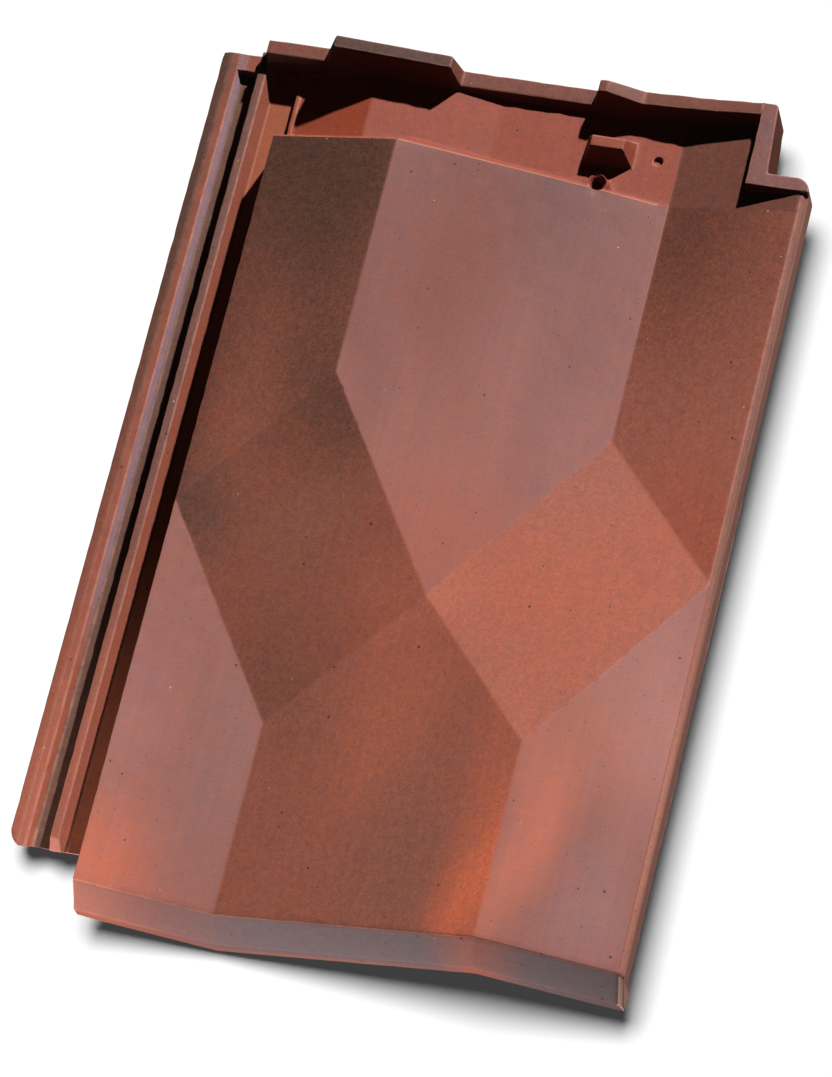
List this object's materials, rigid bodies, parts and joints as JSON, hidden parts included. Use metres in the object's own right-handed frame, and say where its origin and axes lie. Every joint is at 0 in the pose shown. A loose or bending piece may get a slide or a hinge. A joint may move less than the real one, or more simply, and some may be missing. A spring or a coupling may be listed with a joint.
{
  "type": "roof tile",
  "caption": "Flat interlocking clay roof tile with a folded diamond relief, a double-channel side lock, a stepped head rib, a nail hole and hanging nibs.",
  "frame": {"origin": "under the middle of the tile, on the plane that the tips of the two hanging nibs touch", "axes": "+X across the tile towards the cover side, +Y up the roof slope towards the head, +Z out of the roof"},
  "size_m": [0.293, 0.4348, 0.058],
  "materials": {
    "fired_clay": "pressed and kiln-fired clay, unglazed, flashed from orange-red to mauve-grey"
  },
  "bodies": {
    "root": {"roof_tile": "fired_clay"}
  },
  "joints": []
}
